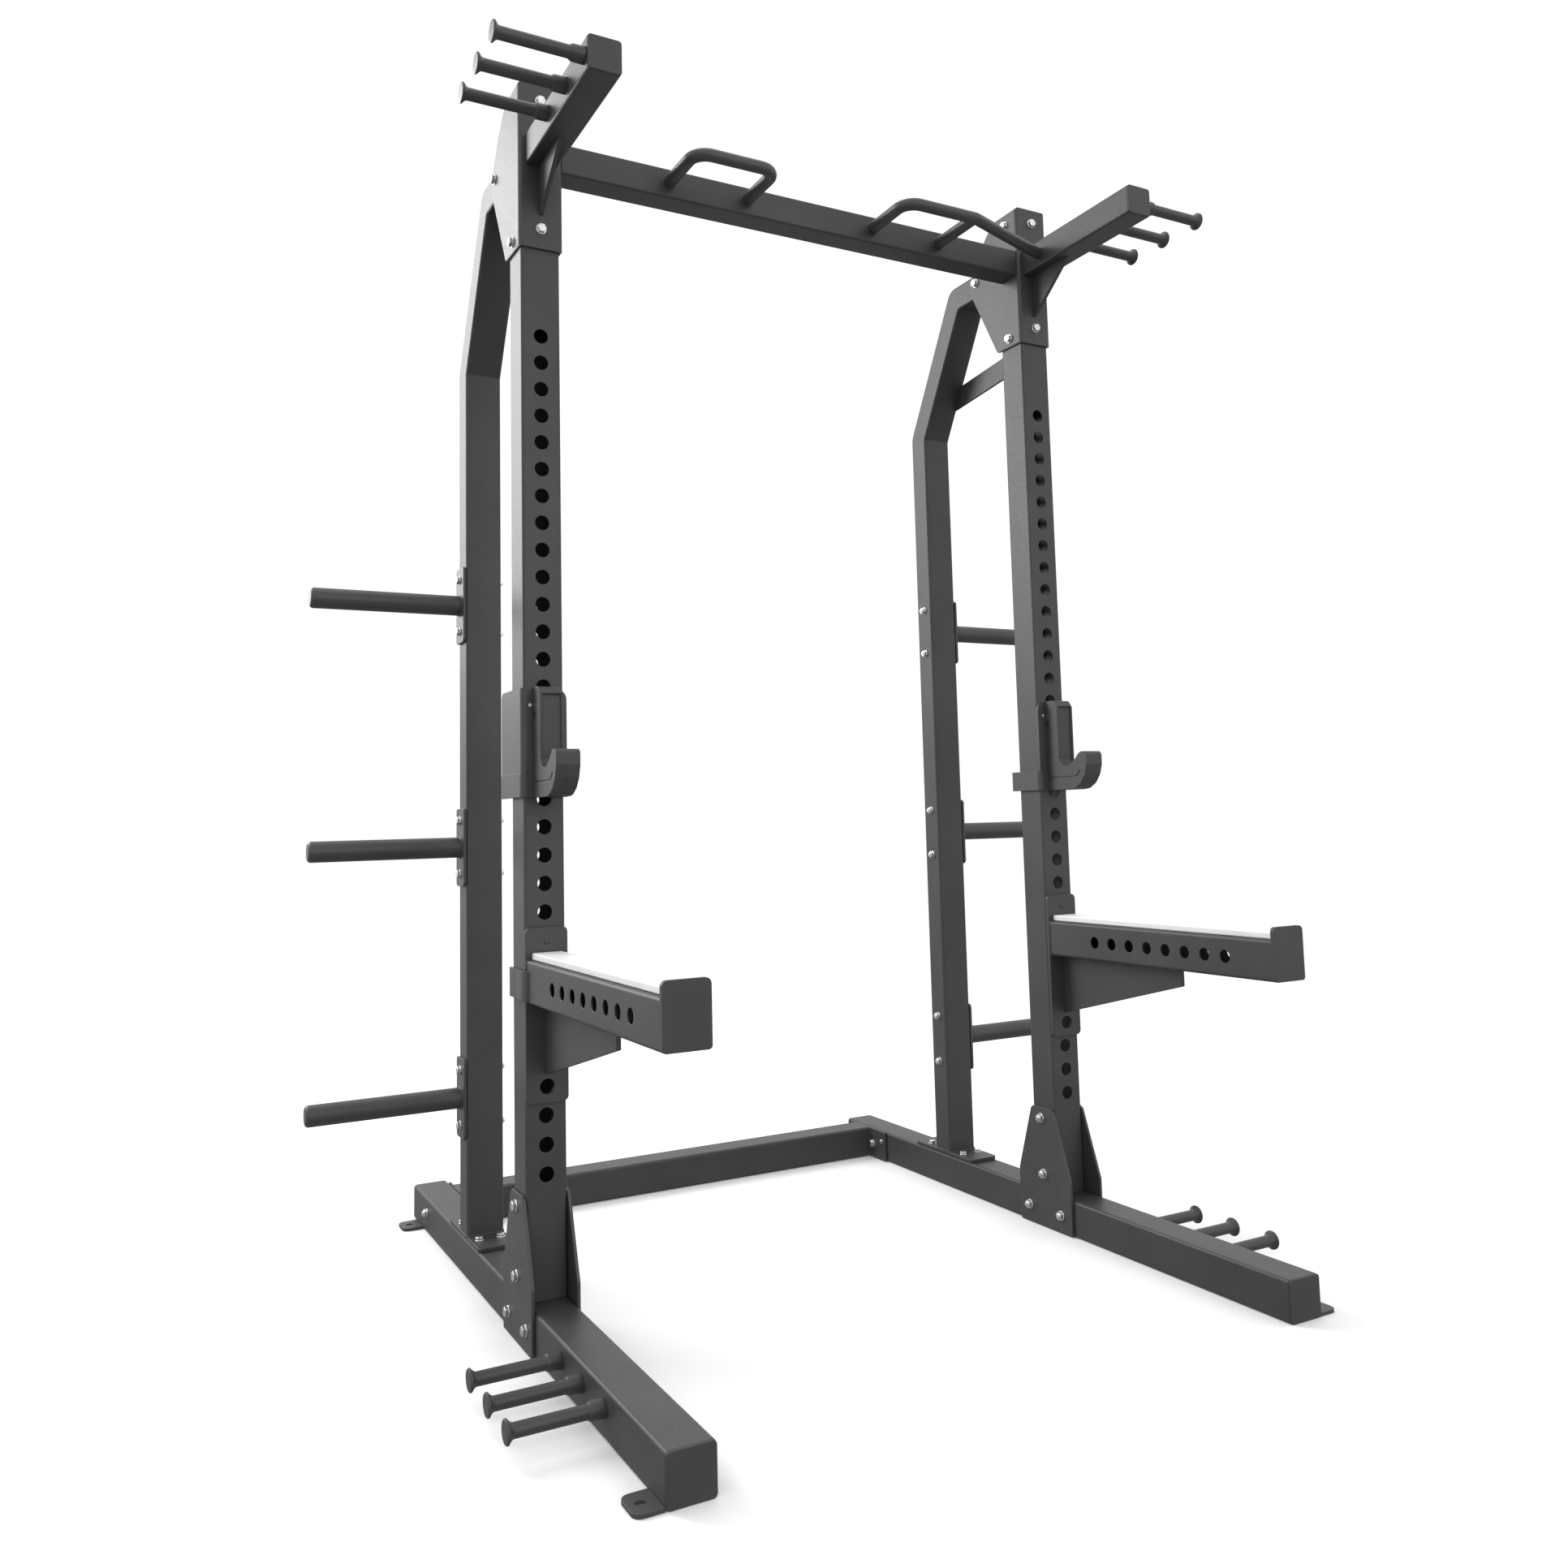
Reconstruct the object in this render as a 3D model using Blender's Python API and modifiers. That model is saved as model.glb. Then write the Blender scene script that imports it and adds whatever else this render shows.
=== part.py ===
"""Half rack with storage legs: two uprights on long floor feet, bolted rear legs,
a pull-up crossbar, band pegs, plate storage pegs, hook cups and spotter arms.

Metres, +Z up, front of the rack toward -Y, floor at Z = 0, centre plane X = 0.
The front faces of both uprights lie in the plane Y = 0.
"""
import math

import bmesh
import bpy
from mathutils import Matrix, Vector

# ---------------------------------------------------------------- dimensions
GAP = 0.0003                # clearance kept between touching pieces
SPAN = 1.180                # distance between the two upright centre lines
TUBE = 0.075                # main square tube, outside
WALL = 0.003                # wall of every tube
H = TUBE / 2.0
PLATE = 0.006               # standard plate thickness

FOOT_FRONT = -0.615         # front end of the feet
FOOT_REAR = 0.885           # rear end of the feet
CAP = 0.004                 # thickness of the welded end plates

TAB_REAR = 0.790            # front edge of the rear floor tabs
TAB_REACH = 0.044           # how far a tab stands out of the foot
TAB_WIDTH = 0.060
SLOT_FROM = 0.016
SLOT_TO = 0.032
SLOT_WIDTH = 0.012

HOLE_D = 0.027              # adjustment holes, through both walls of the uprights
HOLE_PITCH = 0.0508
HOLE_FIRST = 0.289          # height of the lowest hole
HOLE_COUNT = 31
UPRIGHT_TOP = 2.298

CROSS_Y0 = 0.765            # front face of the rear floor crossmember
FLANGE = 0.006
FLANGE_Y0 = 0.688
FLANGE_Y1 = 0.866
FLANGE_INSET = 0.0005       # the flanges are this much lower than the tube, above and below

GUSSET_TOP = 0.256
GUSSET_KNEE = 0.112
GUSSET_SPREAD = 0.048

LEG_Y0 = 0.402              # front face of the rear legs
LEG_D = 0.060               # depth of the rear leg tube
LEG_BEND_Z = 1.864          # front face bend height
LEG_TILT = math.radians(30.0)
LEG_TOP = 2.209
LEG_UNDER = 2.149
BRACE_T = 0.006             # flat bar on edge between leg and upright, flush with the +X side
BRACE_DEPTH = 0.053         # its depth
BRACE_UP = 1.990            # height of its middle at the upright
BRACE_DROP = 0.095          # its fall toward the leg

BASE_PLATE = 0.008
BASE_PLATE_LEN = 0.235

BRACKET_Z0 = 1.980
BRACKET_Z1 = 2.305
BRACKET_T = 0.005           # its plate thickness

BAR = 0.060                 # crossbar and outrigger tube
BAR_Z = 2.172               # axis height of crossbar, outriggers, handles
OUT_FRONT = -0.355          # front end of the outriggers

PEG_D = 0.022               # band peg shaft
PEG_DISC_D = 0.036
PEG_COLLAR_D = 0.030
PEG_REACH = 0.776           # outer end of all band pegs, from the centre plane
UPPER_PEG_Y = (-0.335, -0.237, -0.139)
BASE_PEG_Y = (-0.380, -0.280, -0.180)
BASE_PEG_Z = 0.045

STORE_D = 0.042
STORE_REACH = 0.935
STORE_PLATE_W = 0.060
STORE_PLATE_H = 0.160
STORE_Z = (0.352, 0.860, 1.368)
STORE_Y = LEG_Y0 + LEG_D / 2.0

HANDLE_D = 0.025
HANDLE_IN = 0.1515          # distance of the inner leg from the centre plane
HANDLE_OUT = 0.3245
HANDLE_REACH = 0.134
HANDLE_BEND = 0.034

CUP_W = 0.044
CUP_Z0 = 0.951
CUP_Z1 = 1.150
CUP_BAND = 0.044            # height of the low band on the cup's inner side
CUP_BAND_REACH = 0.090
CUP_CHEEK_REACH = 0.120     # depth of the tall outer cheek
CUP_PIN_Z = HOLE_FIRST + 16 * HOLE_PITCH
PIN_D = 0.024
PIN_TIP = 0.044             # how far the locating pins reach into the upright

ARM_Z0 = 0.589
ARM_Z1 = ARM_Z0 + TUBE
ARM_FRONT = -0.617
STOP = 0.008                # thickness of the stop plate at the arm's front end
ARM_BRACKET_D = 0.008       # thickness of the arm's mounting plate
ARM_BRACKET_Z0 = 0.413
ARM_BRACKET_Z1 = 0.720
ARM_PINS_Z = (HOLE_FIRST + 5 * HOLE_PITCH, HOLE_FIRST + 8 * HOLE_PITCH)
EAR_Z0 = 0.594
EAR_Z1 = 0.646
STRIP_W = 0.056
STRIP_T = 0.012
STOP_Z1 = 0.687

SEG = 12

# ---------------------------------------------------------------- clean start
for old in list(bpy.data.objects):
    bpy.data.objects.remove(old, do_unlink=True)

parts = bpy.data.collections.new("half_rack")
cutters = bpy.data.collections.new("cutters")
bpy.context.scene.collection.children.link(parts)
bpy.context.scene.collection.children.link(cutters)


# ---------------------------------------------------------------- materials
def material(name, colour, roughness, metallic):
    mat = bpy.data.materials.new(name)
    mat.use_nodes = True
    shader = mat.node_tree.nodes["Principled BSDF"]
    shader.inputs["Base Color"].default_value = (*colour, 1.0)
    shader.inputs["Roughness"].default_value = roughness
    shader.inputs["Metallic"].default_value = metallic
    mat.diffuse_color = (*colour, 1.0)
    return mat


FINISHES = {
    "frame": ((0.060, 0.060, 0.062), 0.45, 0.0),
    "plate": ((0.070, 0.070, 0.072), 0.42, 0.0),
    "peg": ((0.055, 0.055, 0.057), 0.40, 0.0),
    "pad": ((0.045, 0.045, 0.047), 0.55, 0.0),
    "strip": ((0.860, 0.860, 0.850), 0.50, 0.0),
}


# ---------------------------------------------------------------- helpers
def finish(obj, kind):
    colour, roughness, metallic = FINISHES[kind]
    obj.data.materials.clear()
    obj.data.materials.append(material(obj.name + "_finish", colour, roughness, metallic))
    return obj


def new_object(name, mesh, collection):
    obj = bpy.data.objects.new(name, mesh)
    collection.objects.link(obj)
    if collection is cutters:
        obj.hide_render = True
        obj.display_type = "WIRE"
    return obj


def box(name, low, high, collection=parts):
    """Axis-aligned box between two corners, its origin at its centre."""
    size = [high[i] - low[i] for i in range(3)]
    middle = [(high[i] + low[i]) / 2.0 for i in range(3)]
    mesh = bpy.data.meshes.new(name)
    bm = bmesh.new()
    bmesh.ops.create_cube(bm, size=1.0, matrix=Matrix.Diagonal((*size, 1.0)))
    bm.to_mesh(mesh)
    bm.free()
    obj = new_object(name, mesh, collection)
    obj.location = middle
    return obj


def rods(name, centres, axis, diameter, length, collection=cutters, segments=8):
    """One mesh of equal cylinders, all along one axis, centred on the given points."""
    turn = {
        "X": Matrix.Rotation(math.pi / 2, 4, "Y"),
        "Y": Matrix.Rotation(math.pi / 2, 4, "X"),
        "Z": Matrix.Identity(4),
    }[axis]
    mesh = bpy.data.meshes.new(name)
    bm = bmesh.new()
    for centre in centres:
        bmesh.ops.create_cone(
            bm,
            cap_ends=True,
            segments=segments,
            radius1=diameter / 2.0,
            radius2=diameter / 2.0,
            depth=length,
            matrix=Matrix.Translation(Vector(centre)) @ turn @ Matrix.Rotation(math.pi / segments, 4, "Z"),
        )
    bm.to_mesh(mesh)
    bm.free()
    return new_object(name, mesh, collection)


def to_mesh(curve_object, collection):
    """Turn a curve object into a closed mesh object of the same name and place."""
    name = curve_object.name
    bpy.context.view_layer.update()
    graph = bpy.context.evaluated_depsgraph_get()
    mesh = bpy.data.meshes.new_from_object(curve_object.evaluated_get(graph))
    place = curve_object.matrix_world.copy()
    bpy.data.objects.remove(curve_object, do_unlink=True)
    bm = bmesh.new()
    bm.from_mesh(mesh)
    bmesh.ops.remove_doubles(bm, verts=bm.verts, dist=0.00001)
    bmesh.ops.recalc_face_normals(bm, faces=bm.faces)
    bm.to_mesh(mesh)
    bm.free()
    mesh.materials.clear()
    obj = new_object(name, mesh, collection)
    obj.matrix_world = place
    return obj


def sheet_yz(name, outline, x0, x1, collection=parts):
    """Flat outline of (Y, Z) points extruded along X from x0 to x1."""
    curve = bpy.data.curves.new(name, "CURVE")
    curve.dimensions = "2D"
    curve.fill_mode = "BOTH"
    curve.extrude = (x1 - x0) / 2.0
    spline = curve.splines.new("POLY")
    spline.points.add(len(outline) - 1)
    for point, (y, z) in zip(spline.points, outline):
        point.co = (y, z, 0.0, 1.0)
    spline.use_cyclic_u = True
    obj = bpy.data.objects.new(name, curve)
    parts.objects.link(obj)
    # curve x -> world Y, curve y -> world Z, extrusion -> world X
    turn = Matrix(((0.0, 0.0, 1.0, 0.0), (1.0, 0.0, 0.0, 0.0), (0.0, 1.0, 0.0, 0.0), (0.0, 0.0, 0.0, 1.0)))
    obj.matrix_world = Matrix.Translation(((x0 + x1) / 2.0, 0.0, 0.0)) @ turn
    return to_mesh(obj, collection)


def boolean(target, tool, operation):
    modifier = target.modifiers.new(operation.title(), "BOOLEAN")
    modifier.operation = operation
    modifier.solver = "EXACT"
    modifier.object = tool
    return target


def cut(target, tool):
    return boolean(target, tool, "DIFFERENCE")


def join(target, tool):
    return boolean(target, tool, "UNION")


def wire(name, points, diameter, collection=parts, segments=2):
    """Round bar along a poly line with capped ends."""
    curve = bpy.data.curves.new(name, "CURVE")
    curve.dimensions = "3D"
    curve.bevel_depth = diameter / 2.0
    curve.bevel_resolution = segments
    curve.use_fill_caps = True
    curve.render_resolution_u = 0
    spline = curve.splines.new("POLY")
    spline.points.add(len(points) - 1)
    for point, co in zip(spline.points, points):
        point.co = (*co, 1.0)
    obj = bpy.data.objects.new(name, curve)
    parts.objects.link(obj)
    return to_mesh(obj, collection)


def rounded(points, radius, steps=4):
    """Replace each inner corner of a poly line by an arc of the given radius."""
    out = [Vector(points[0])]
    for i in range(1, len(points) - 1):
        a = Vector(points[i - 1])
        b = Vector(points[i])
        c = Vector(points[i + 1])
        u = (a - b).normalized()
        v = (c - b).normalized()
        half = u.angle(v) / 2.0
        back = radius / math.tan(half)
        centre = b + (u + v).normalized() * (radius / math.sin(half))
        start = b + u * back - centre
        end = b + v * back - centre
        normal = start.cross(end).normalized()
        sweep = start.angle(end)
        for k in range(steps + 1):
            out.append(centre + Matrix.Rotation(sweep * k / steps, 3, normal) @ start)
    out.append(Vector(points[-1]))
    return out


def turned(name, profile, place, side):
    """Turned piece along X from a profile of (radius, distance), side +1 or -1 is its direction."""
    mesh = bpy.data.meshes.new(name)
    bm = bmesh.new()
    last = None
    for radius, along in profile:
        vert = bm.verts.new((radius, 0.0, along))
        if last is not None:
            bm.edges.new((last, vert))
        last = vert
    bm.to_mesh(mesh)
    bm.free()
    obj = new_object(name, mesh, parts)
    screw = obj.modifiers.new("Turn", "SCREW")
    screw.axis = "Z"
    screw.steps = SEG
    screw.render_steps = SEG
    screw.use_merge_vertices = True
    screw.merge_threshold = 0.00001
    obj.rotation_euler = (0.0, side * math.pi / 2.0, 0.0)
    obj.location = place
    return obj


def hollow_y(name, cx, z0, z1, y0, y1, width, collection=parts):
    """Rectangular tube along Y, open at both ends."""
    outer = box(name, (cx - width / 2, y0, z0), (cx + width / 2, y1, z1), collection)
    inner = box(
        name + "_bore",
        (cx - width / 2 + WALL, y0 - 0.02, z0 + WALL),
        (cx + width / 2 - WALL, y1 + 0.02, z1 - WALL),
        cutters,
    )
    return cut(outer, inner)


# ---------------------------------------------------------------- one side frame
def side_frame(label, s):
    """s is -1 for the left frame and +1 for the right frame."""
    cx = s * SPAN / 2.0
    out = s                    # direction pointing away from the centre plane

    def xs(a, b):
        """Two world X values from offsets measured outward from the frame's centre."""
        low = cx + out * a
        high = cx + out * b
        return (min(low, high), max(low, high))

    # foot tube and its two end plates
    foot = hollow_y(label + "_foot", cx, 0.0, TUBE, FOOT_FRONT + CAP + GAP, FOOT_REAR - CAP - GAP, TUBE)
    finish(foot, "frame")
    for end, y in (("front", FOOT_FRONT), ("rear", FOOT_REAR - CAP)):
        cap = box(label + "_foot_cap_" + end, (cx - H, y, 0.0), (cx + H, y + CAP, TUBE))
        finish(cap, "frame")

    # floor anchor tabs on the outer side of the foot, each with a slot
    for end, y0 in (("front", FOOT_FRONT + 0.002), ("rear", TAB_REAR)):
        x0, x1 = xs(H + GAP, H + TAB_REACH)
        tab = box(label + "_floor_tab_" + end, (x0, y0, 0.0), (x1, y0 + TAB_WIDTH, PLATE))
        sx0, sx1 = xs(H + SLOT_FROM, H + SLOT_TO)
        middle = y0 + TAB_WIDTH / 2.0
        low = (sx0, middle - SLOT_WIDTH / 2.0, -0.01)
        high = (sx1, middle + SLOT_WIDTH / 2.0, 0.02)
        slot = box(tab.name + "_slot", low, high, cutters)
        cut(tab, slot)
        finish(tab, "plate")

    # upright with its row of adjustment holes through the front and rear walls
    upright = box(
        label + "_upright",
        (cx - H, 0.0, TUBE + GAP),
        (cx + H, TUBE, UPRIGHT_TOP),
    )
    cut(upright, box(
        upright.name + "_bore",
        (cx - H + WALL, WALL, TUBE - 0.02),
        (cx + H - WALL, TUBE - WALL, UPRIGHT_TOP - WALL),
        cutters,
    ))
    centres = [(cx, H, HOLE_FIRST + i * HOLE_PITCH) for i in range(HOLE_COUNT)]
    cut(upright, rods(upright.name + "_holes", centres, "Y", HOLE_D, TUBE + 0.02))
    finish(upright, "frame")

    # two base gusset plates that clamp foot and upright together
    outline = [
        (-GUSSET_SPREAD, 0.0),
        (TUBE + GUSSET_SPREAD, 0.0),
        (TUBE + GUSSET_SPREAD, GUSSET_KNEE),
        (TUBE, GUSSET_TOP - 0.006),
        (TUBE - 0.008, GUSSET_TOP),
        (0.008, GUSSET_TOP),
        (0.0, GUSSET_TOP - 0.006),
        (-GUSSET_SPREAD, GUSSET_KNEE),
    ]
    for place, a, b in (("outer", H + GAP, H + GAP + PLATE), ("inner", -H - GAP - PLATE, -H - GAP)):
        x0, x1 = xs(a, b)
        finish(sheet_yz(label + "_base_gusset_" + place, outline, x0, x1), "plate")

    # rear leg: upright run, 30 degree run, level run into the top bracket, and base plate
    d = LEG_D
    t = math.tan(LEG_TILT)
    rise = d * math.tan(LEG_TILT / 2.0)
    z_front = LEG_BEND_Z
    z_back = LEG_BEND_Z + rise
    y_in = LEG_Y0 - (LEG_UNDER - z_front) * t
    y_out = LEG_Y0 + d - (LEG_TOP - z_back) * t
    chamfer = 0.010
    foot_z = TUBE + GAP
    mid = LEG_Y0 + d / 2.0
    plate_top = foot_z + BASE_PLATE
    shell = [
        (mid - BASE_PLATE_LEN / 2.0, foot_z),
        (mid + BASE_PLATE_LEN / 2.0, foot_z),
        (mid + BASE_PLATE_LEN / 2.0, plate_top),
        (LEG_Y0 + d, plate_top),
        (LEG_Y0 + d, z_back),
        (y_out + chamfer * t, LEG_TOP - chamfer),
        (y_out - chamfer, LEG_TOP),
        (TUBE + GAP, LEG_TOP),
        (TUBE + GAP, LEG_UNDER),
        (y_in, LEG_UNDER),
        (LEG_Y0, z_front),
        (LEG_Y0, plate_top),
        (mid - BASE_PLATE_LEN / 2.0, plate_top),
    ]
    w = WALL
    core = [
        (LEG_Y0 + w, foot_z + BASE_PLATE + 0.001),
        (LEG_Y0 + d - w, foot_z + BASE_PLATE + 0.001),
        (LEG_Y0 + d - w, z_back - w * math.tan(LEG_TILT / 2.0)),
        (y_out - w * math.tan(LEG_TILT / 2.0) - 0.004, LEG_TOP - w),
        (TUBE - 0.02, LEG_TOP - w),
        (TUBE - 0.02, LEG_UNDER + w),
        (y_in + w * 0.58, LEG_UNDER + w),
        (LEG_Y0 + w, z_front + w * math.tan(LEG_TILT / 2.0)),
    ]
    leg = sheet_yz(label + "_rear_leg", shell, cx - H, cx + H)
    cut(leg, sheet_yz(leg.name + "_bore", core, cx - H + w, cx + H - w, cutters))
    finish(leg, "frame")

    # brace between the sloping run of the rear leg and the back of the upright, on the right side only
    def leg_face(height):
        """Y of the sloping front face of the rear leg at a height."""
        return LEG_Y0 - (height - z_front) * t

    def brace_view(half, y_up, past):
        """Side view of the brace, half deep about its axis, running past the leg's face."""
        at_upright = BRACE_UP - BRACE_DROP * (y_up - TUBE)
        points = [(y_up, at_upright - half), (y_up, at_upright + half)]
        for shift in (half, -half):
            level = BRACE_UP + shift - BRACE_DROP * (leg_face(BRACE_UP) - TUBE)
            level = (level - BRACE_DROP * t * BRACE_UP) / (1.0 - BRACE_DROP * t)
            points.append((leg_face(level) + past, level - BRACE_DROP * past))
        return points

    if label == "right":
        brace_side = brace_view(BRACE_DEPTH / 2.0, TUBE + GAP, -1.3 * GAP)
        brace = sheet_yz(label + "_brace", brace_side, cx + H - BRACE_T, cx + H)
        finish(brace, "frame")

    # top bracket: front plate and two side plates over the upright and the rear leg
    side_outline = [
        (-GAP - BRACKET_T, BRACKET_Z0),
        (0.083, BRACKET_Z0 + 0.004),
        (0.183, BAR_Z),
        (0.172, 2.200),
        (0.130, 2.258),
        (0.105, 2.282),
        (TUBE, BRACKET_Z1),
        (-GAP - BRACKET_T, BRACKET_Z1),
    ]
    x0, x1 = xs(-H - GAP - BRACKET_T, H + GAP + BRACKET_T)
    bracket = sheet_yz(label + "_top_bracket", side_outline, x0, x1)
    cut(bracket, box(
        bracket.name + "_slot",
        (cx - H - GAP, -GAP, BRACKET_Z0 - 0.02),
        (cx + H + GAP, 0.30, BRACKET_Z1 + 0.02),
        cutters,
    ))
    finish(bracket, "plate")

    # outrigger with gusset, its end plate and three band pegs
    front = -GAP - BRACKET_T - GAP
    arm = box(
        label + "_outrigger",
        (cx - BAR / 2, OUT_FRONT + CAP + GAP, BAR_Z - BAR / 2),
        (cx + BAR / 2, front, BAR_Z + BAR / 2),
    )
    cut(arm, box(
        arm.name + "_bore",
        (cx - BAR / 2 + WALL, OUT_FRONT - 0.02, BAR_Z - BAR / 2 + WALL),
        (cx + BAR / 2 - WALL, 0.02, BAR_Z + BAR / 2 - WALL),
        cutters,
    ))
    root = front - 0.0005
    web = [(root, 2.046), (root, BAR_Z - BAR / 2 + 0.001), (-0.125, BAR_Z - BAR / 2 + 0.001)]
    join(arm, sheet_yz(arm.name + "_web", web, cx - 0.004, cx + 0.004, cutters))
    finish(arm, "frame")
    cap = box(
        label + "_outrigger_cap",
        (cx - BAR / 2, OUT_FRONT, BAR_Z - BAR / 2),
        (cx + BAR / 2, OUT_FRONT + CAP, BAR_Z + BAR / 2),
    )
    finish(cap, "frame")

    # band pegs: collar, shaft, flare and disc, turned about X
    def band_peg(name, start, y, z):
        length = PEG_REACH - start
        r = PEG_D / 2.0
        profile = [
            (0.0, length),
            (PEG_DISC_D / 2.0, length),
            (PEG_DISC_D / 2.0, length - 0.004),
            (r, length - 0.012),
            (r, 0.014),
            (PEG_COLLAR_D / 2.0, 0.010),
            (PEG_COLLAR_D / 2.0, 0.0),
            (0.0, 0.0),
        ]
        finish(turned(name, profile, (out * start, y, z), out), "peg")

    for i, y in enumerate(UPPER_PEG_Y):
        band_peg("%s_upper_peg_%d" % (label, i + 1), SPAN / 2 + BAR / 2 + GAP, y, BAR_Z)
    for i, y in enumerate(BASE_PEG_Y):
        band_peg("%s_base_peg_%d" % (label, i + 1), SPAN / 2 + H + GAP, y, BASE_PEG_Z)

    # plate storage pegs: mounting plate and closed tube, open through the plate
    for i, z in enumerate(STORE_Z):
        x0, x1 = xs(H + GAP, H + GAP + PLATE)
        low = (x0, STORE_Y - STORE_PLATE_W / 2.0, z - STORE_PLATE_H / 2.0)
        high = (x1, STORE_Y + STORE_PLATE_W / 2.0, z + STORE_PLATE_H / 2.0)
        peg = box("%s_storage_peg_%d" % (label, i + 1), low, high)
        root = SPAN / 2 + H + GAP + 0.002
        length = STORE_REACH - root
        middle = (out * (root + length / 2), STORE_Y, z)
        tube = rods(peg.name + "_tube", [middle], "X", STORE_D, length, segments=SEG)
        join(peg, tube)
        depth = length - CAP
        bore = rods(
            peg.name + "_bore",
            [(out * (root + depth / 2 - 0.02), STORE_Y, z)],
            "X",
            STORE_D - 2 * WALL,
            depth + 0.04,
            segments=SEG,
        )
        cut(peg, bore)
        finish(peg, "peg")

    # hook cup: folded steel bracket with a locating pin, and its moulded J pad.
    # The front plate carries a tall cheek on the outer side and a low band on the inner side.
    x0, x1 = xs(-H - GAP - PLATE, H + GAP + PLATE)
    low = (x0, -GAP - PLATE, CUP_Z0 + 0.002)
    bracket = box(label + "_cup_bracket", low, (x1, CUP_CHEEK_REACH, CUP_Z1))
    x0, x1 = xs(-H - GAP, H + GAP)
    cut_low = CUP_Z0 - 0.02
    cut_high = CUP_Z1 + 0.02
    cut(bracket, box(bracket.name + "_slot", (x0, -GAP, cut_low), (x1, 0.20, cut_high), cutters))
    x0, x1 = xs(-H - 0.05, -H + 0.01)
    above_band = CUP_Z0 + CUP_BAND
    cut(bracket, box(bracket.name + "_step", (x0, -GAP / 2.0, above_band), (x1, 0.20, cut_high), cutters))
    cut(bracket, box(bracket.name + "_short", (x0, CUP_BAND_REACH, cut_low), (x1, 0.20, CUP_Z1), cutters))
    pin_length = PIN_TIP + PLATE / 2.0
    pin_middle = PIN_TIP - pin_length / 2.0
    pin = rods(bracket.name + "_pin", [(cx, pin_middle, CUP_PIN_Z)], "Y", PIN_D, pin_length, segments=SEG)
    join(bracket, pin)
    finish(bracket, "plate")

    back = -GAP - PLATE - GAP
    hook = [
        (back, CUP_Z0),
        (back, CUP_Z1),
        (-0.036, CUP_Z1),
        (-0.047, CUP_Z1 - 0.014),
        (-0.047, 1.020),
        (-0.053, 1.008),
        (-0.068, 1.002),
        (-0.082, 1.006),
        (-0.097, 1.015),
        (-0.110, 1.028),
        (-0.118, 1.032),
        (-0.130, 1.032),
        (-0.136, 1.026),
        (-0.136, 1.004),
        (-0.129, 0.982),
        (-0.115, 0.964),
        (-0.095, 0.953),
        (-0.078, CUP_Z0),
    ]
    x0, x1 = xs(-CUP_W / 2, CUP_W / 2)
    pad = sheet_yz(label + "_cup_pad", hook, x0, x1)
    finish(pad, "pad")

    # spotter arm: channel bracket with two pins and a side ear, tube, web and stop plate
    yb = -GAP - ARM_BRACKET_D
    arm = box(label + "_spotter_arm", (cx - 0.039, yb, ARM_BRACKET_Z0), (cx + 0.039, -GAP, ARM_BRACKET_Z1))
    beam_view = [
        (yb + 0.002, ARM_Z0),
        (yb + 0.002, ARM_Z1),
        (ARM_FRONT, ARM_Z1),
        (ARM_FRONT, STOP_Z1),
        (ARM_FRONT - STOP, STOP_Z1),
        (ARM_FRONT - STOP, ARM_Z0),
    ]
    join(arm, sheet_yz(arm.name + "_beam", beam_view, cx - H, cx + H, cutters))
    cut(arm, box(
        arm.name + "_beam_bore",
        (cx - H + WALL, ARM_FRONT + 0.001, ARM_Z0 + WALL),
        (cx + H - WALL, yb - 0.001, ARM_Z1 - WALL),
        cutters,
    ))
    web = [(yb + 0.001, 0.463), (yb + 0.001, ARM_Z0 + 0.001), (-0.362, ARM_Z0 + 0.001), (-0.362, 0.549)]
    join(arm, sheet_yz(arm.name + "_web", web, cx - 0.004, cx + 0.004, cutters))
    ex0, ex1 = xs(H + GAP, H + GAP + PLATE)
    join(arm, box(arm.name + "_ear", (ex0, yb + GAP, EAR_Z0), (ex1, TUBE, EAR_Z1), cutters))
    pin_head = yb - 0.004
    pins = [(cx, (pin_head + PIN_TIP) / 2.0, z) for z in ARM_PINS_Z]
    join(arm, rods(arm.name + "_pins", pins, "Y", PIN_D, PIN_TIP - pin_head, segments=SEG))
    holes = []
    for i in range(8):
        y = -0.152 - i * HOLE_PITCH
        for side in (-1, 1):
            holes.append((cx + side * H, y, (ARM_Z0 + ARM_Z1) / 2.0))
    cut(arm, rods(arm.name + "_side_holes", holes, "X", 0.024, 0.02))
    low_hole = [(cx, -0.010, HOLE_FIRST + 3 * HOLE_PITCH)]
    cut(arm, rods(arm.name + "_low_hole", low_hole, "Y", HOLE_D, 0.05))
    finish(arm, "frame")

    strip = box(
        label + "_arm_strip",
        (cx - STRIP_W / 2, ARM_FRONT + 0.0005, ARM_Z1 + GAP),
        (cx + STRIP_W / 2, yb - 0.003, ARM_Z1 + GAP + STRIP_T),
    )
    finish(strip, "strip")


side_frame("left", -1)
side_frame("right", 1)

# ---------------------------------------------------------------- rear crossmember
inner_face = SPAN / 2 - H
cross = box(
    "rear_crossmember",
    (-inner_face + GAP, CROSS_Y0, 0.0),
    (inner_face - GAP, CROSS_Y0 + TUBE, TUBE),
)
for side in (-1, 1):
    x0, x1 = sorted((side * (inner_face - 0.5 * GAP), side * (inner_face - GAP - FLANGE)))
    low = (x0, FLANGE_Y0, FLANGE_INSET)
    high = (x1, FLANGE_Y1, TUBE - FLANGE_INSET)
    join(cross, box("cross_flange_%d" % (side + 1), low, high, cutters))
cut(cross, box(
    "cross_bore",
    (-SPAN, CROSS_Y0 + WALL, WALL),
    (SPAN, CROSS_Y0 + TUBE - WALL, TUBE - WALL),
    cutters,
))
finish(cross, "frame")

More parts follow.
